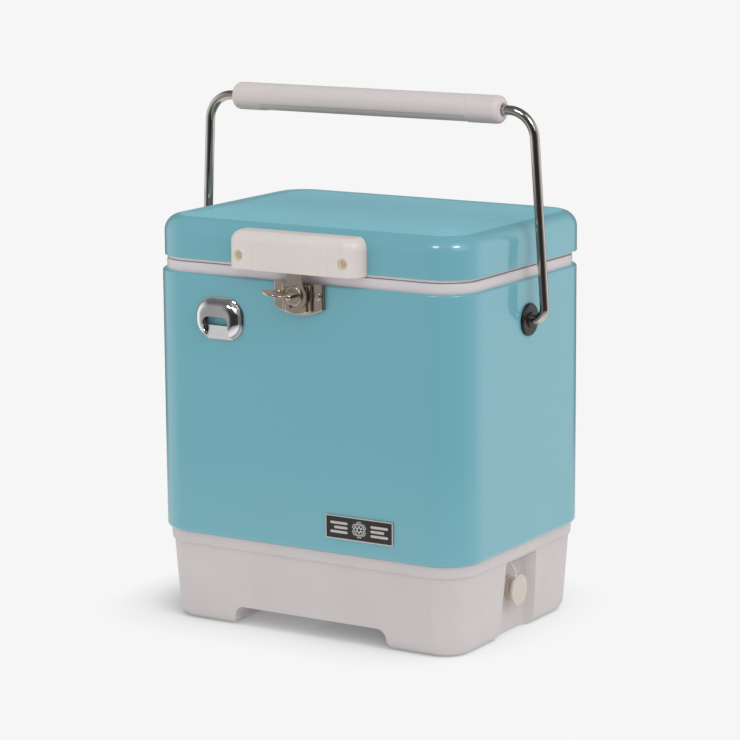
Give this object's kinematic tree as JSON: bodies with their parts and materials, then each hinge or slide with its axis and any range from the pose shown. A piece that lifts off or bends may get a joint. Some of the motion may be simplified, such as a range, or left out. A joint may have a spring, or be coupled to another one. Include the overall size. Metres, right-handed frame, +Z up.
{
  "type": "cooler",
  "caption": "Steel-clad picnic cooler: foam-insulated box with hinged lid, swinging bail handle, turn latch, bottle opener and side drain.",
  "frame": {"origin": "on the floor under the centre of the body's plan, midway between the two feet", "axes": "+Z up, -Y towards the latch and front handle tab, +X towards the drain side"},
  "size_m": [0.416, 0.3107, 0.5474],
  "materials": {
    "blue_enamel": "glossy light teal-blue enamel on sheet steel",
    "white_plastic": "satin moulded plastic, warm white",
    "grip_plastic": "satin moulded plastic, warm white",
    "base_plastic": "fine-textured moulded plastic, warm light grey",
    "cap_plastic": "soft flexible plastic, cream",
    "black_plastic": "black nylon",
    "stainless_rod": "polished stainless rod",
    "nickel": "bright nickel-plated steel",
    "zinc_steel": "zinc-plated steel fasteners",
    "chrome_plate": "mirror chrome plate",
    "plate_silver": "satin aluminium badge border",
    "plate_black": "black enamel face with a plain ice-crystal motif",
    "liner_plastic": "satin white food-grade liner",
    "foam": "rigid urethane foam, hidden",
    "gasket_rubber": "soft dark gasket strip"
  },
  "bodies": {
    "body": {"steel_jacket": "blue_enamel", "base_tray": "base_plastic", "inner_liner": "liner_plastic", "body_foam": "foam", "pivot_seats": "black_plastic", "drain_spout": "cap_plastic", "drain_nut": "white_plastic", "drain_tether": "cap_plastic", "hinge_leaves_body": "nickel", "hinge_pins": "zinc_steel", "hinge_screws_body": "zinc_steel", "latch_base": "nickel", "latch_rivets": "nickel", "bottle_opener": "chrome_plate", "opener_screws": "zinc_steel", "nameplate": "plate_silver", "nameplate_face": "plate_black"},
    "lid": {"lid_pan": "blue_enamel", "lid_liner": "liner_plastic", "lid_gasket": "gasket_rubber", "lid_foam": "foam", "lid_handle": "white_plastic", "handle_screws": "zinc_steel", "hinge_leaves_lid": "nickel", "hinge_screws_lid": "zinc_steel", "latch_strap": "nickel"},
    "bushes": {"pivot_bushes": "black_plastic"},
    "bail": {"bail_rod": "stainless_rod", "rod_retainers": "zinc_steel"},
    "grip": {"bail_grip": "grip_plastic"},
    "turn_latch": {"latch_rotor": "nickel", "latch_wing": "nickel"},
    "drain_plug": {"drain_cap": "cap_plastic"}
  },
  "joints": [
    {"name": "lid_hinge", "type": "hinge", "parent": "body", "child": "lid", "pos_m": [0, 0.139, 0.3847], "axis": [-1, 0, 0], "range_deg": [0, 100]},
    {"name": "bush_turn", "type": "hinge", "parent": "body", "child": "bushes", "pos_m": [0, 0, 0.3252], "axis": [-1, 0, 0], "range_deg": [0, 100]},
    {"name": "bail_swing", "type": "hinge", "parent": "bushes", "child": "bail", "pos_m": [0, 0, 0.3252], "axis": [1, 0, 0], "range_deg": [-31, 129]},
    {"name": "grip_roll", "type": "hinge", "parent": "bail", "child": "grip", "pos_m": [0, -0.00381, 0.53326], "axis": [1, 0, 0], "continuous": true},
    {"name": "latch_turn", "type": "hinge", "parent": "body", "child": "turn_latch", "pos_m": [0.002, -0.15, 0.3552], "axis": [0, -1, 0], "range_deg": [0, 90]},
    {"name": "drain_pull", "type": "slide", "parent": "body", "child": "drain_plug", "axis": [1, 0, 0], "range_m": [0, 0.03]}
  ],
  "couplings": [
    {"joint": "bush_turn", "follows": "lid_hinge", "ratio": 1}
  ]
}
